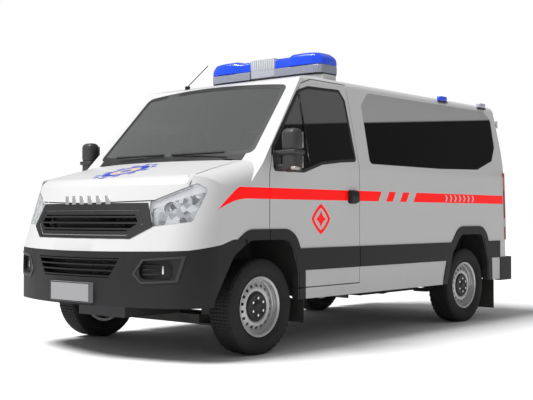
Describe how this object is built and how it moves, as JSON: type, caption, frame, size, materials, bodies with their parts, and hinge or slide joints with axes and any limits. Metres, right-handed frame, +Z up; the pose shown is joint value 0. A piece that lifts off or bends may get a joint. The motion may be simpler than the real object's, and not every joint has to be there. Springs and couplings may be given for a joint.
{
  "type": "high-roof panel van ambulance",
  "caption": "High-roof panel van ambulance with hinged cab doors, bonnet and rear doors, steered front wheels, a roof light bar and a fitted patient compartment.",
  "frame": {"origin": "on the ground under the middle of the whole vehicle", "axes": "+X forwards along the vehicle, +Y to its left, +Z up"},
  "size_m": [4.905, 2.43, 2.41],
  "materials": {
    "body_paint": "gloss white",
    "bumper_plastic": "grained dark grey",
    "window_glass": "tinted",
    "tyre_rubber": "matte",
    "wheel_steel": "silver",
    "chassis_steel": "satin black",
    "engine_metal": "cast",
    "tank_plastic": "matte black",
    "exhaust_steel": "dull",
    "flap_rubber": "matte",
    "floor_metal": "grey",
    "trim_plastic": "matte grey",
    "seat_fabric": "woven",
    "stretcher_metal": "satin",
    "cushion_vinyl": "smooth",
    "lamp_clear": "clear lens over reflector",
    "plate_blank": "blank",
    "lamp_red": "gloss red",
    "black_metal": "satin",
    "lightbar_housing": "gloss grey",
    "beacon_blue": "clear blue"
  },
  "bodies": {
    "vehicle_body": {"front_bumper": "bumper_plastic", "front_panel": "body_paint", "roof_panel": "body_paint", "body_side_left": "body_paint", "body_side_right": "body_paint", "sliding_door": "body_paint", "side_windows": "window_glass", "wings": "body_paint", "cowl": "bumper_plastic", "windscreen": "window_glass", "wheel_liners": "bumper_plastic", "frame_rails": "chassis_steel", "front_suspension": "chassis_steel", "leaf_springs": "chassis_steel", "engine": "engine_metal", "rear_axle": "chassis_steel", "fuel_tank": "tank_plastic", "exhaust": "exhaust_steel", "mud_flaps": "flap_rubber", "floor": "floor_metal", "dashboard": "trim_plastic", "steering_wheel": "trim_plastic", "cab_seats": "seat_fabric", "partition": "trim_plastic", "stretcher": "stretcher_metal", "patient_cushions": "cushion_vinyl", "cupboards": "trim_plastic", "side_mouldings": "bumper_plastic", "grilles": "bumper_plastic", "front_lamps": "lamp_clear", "number_plates": "plate_blank", "rear_bumper": "bumper_plastic", "rear_lamps": "lamp_red", "wipers": "black_metal", "antenna": "black_metal", "lightbar_base": "lightbar_housing", "lightbar_lenses": "beacon_blue", "side_beacons": "beacon_blue"},
    "bonnet": {"bonnet": "body_paint"},
    "cab_door_left": {"cab_door_left": "body_paint", "cab_door_glass_left": "window_glass", "cab_door_trim_left": "bumper_plastic"},
    "rear_door_left": {"rear_door_left": "body_paint", "rear_door_glass_left": "window_glass"},
    "knuckle_left": {"knuckle_left": "chassis_steel"},
    "wheel_front_left": {"tyre_front_left": "tyre_rubber", "rim_front_left": "wheel_steel"},
    "wheel_rear_left": {"tyre_rear_left": "tyre_rubber", "rim_rear_left": "wheel_steel"},
    "cab_door_right": {"cab_door_right": "body_paint", "cab_door_glass_right": "window_glass", "cab_door_trim_right": "bumper_plastic"},
    "rear_door_right": {"rear_door_right": "body_paint", "rear_door_glass_right": "window_glass"},
    "knuckle_right": {"knuckle_right": "chassis_steel"},
    "wheel_front_right": {"tyre_front_right": "tyre_rubber", "rim_front_right": "wheel_steel"},
    "wheel_rear_right": {"tyre_rear_right": "tyre_rubber", "rim_rear_right": "wheel_steel"}
  },
  "joints": [
    {"name": "cab_door_left", "type": "hinge", "parent": "vehicle_body", "child": "cab_door_left", "pos_m": [1.4515, 0.972, 1.0675], "axis": [0, 0, -1], "range_deg": [0, 70]},
    {"name": "cab_door_right", "type": "hinge", "parent": "vehicle_body", "child": "cab_door_right", "pos_m": [1.4515, -0.972, 1.0675], "axis": [0, 0, 1], "range_deg": [0, 70]},
    {"name": "rear_door_left", "type": "hinge", "parent": "vehicle_body", "child": "rear_door_left", "pos_m": [-2.34944, 0.893, 1.33], "axis": [-0.0526, 0, -0.9986], "range_deg": [0, 180]},
    {"name": "rear_door_right", "type": "hinge", "parent": "vehicle_body", "child": "rear_door_right", "pos_m": [-2.34944, -0.893, 1.33], "axis": [0.0526, 0, 0.9986], "range_deg": [0, 180]},
    {"name": "bonnet", "type": "hinge", "parent": "vehicle_body", "child": "bonnet", "pos_m": [1.5275, 0, 1.404], "axis": [0, -1, 0], "range_deg": [0, 45]},
    {"name": "steering_left", "type": "hinge", "parent": "vehicle_body", "child": "knuckle_left", "pos_m": [1.4675, 0.8, 0.23], "axis": [0, -0.2419, 0.9703], "range_deg": [-35, 35]},
    {"name": "steering_right", "type": "hinge", "parent": "vehicle_body", "child": "knuckle_right", "pos_m": [1.4675, -0.8, 0.23], "axis": [0, 0.2419, 0.9703], "range_deg": [-35, 35]},
    {"name": "wheel_front_left", "type": "hinge", "parent": "knuckle_left", "child": "wheel_front_left", "pos_m": [1.4675, 0.862, 0.349], "axis": [0, 1, 0], "continuous": true},
    {"name": "wheel_rear_left", "type": "hinge", "parent": "vehicle_body", "child": "wheel_rear_left", "pos_m": [-1.5325, 0.862, 0.349], "axis": [0, 1, 0], "continuous": true},
    {"name": "wheel_front_right", "type": "hinge", "parent": "knuckle_right", "child": "wheel_front_right", "pos_m": [1.4675, -0.862, 0.349], "axis": [0, 1, 0], "continuous": true},
    {"name": "wheel_rear_right", "type": "hinge", "parent": "vehicle_body", "child": "wheel_rear_right", "pos_m": [-1.5325, -0.862, 0.349], "axis": [0, 1, 0], "continuous": true}
  ],
  "couplings": [
    {"joint": "steering_right", "follows": "steering_left", "ratio": 1}
  ]
}
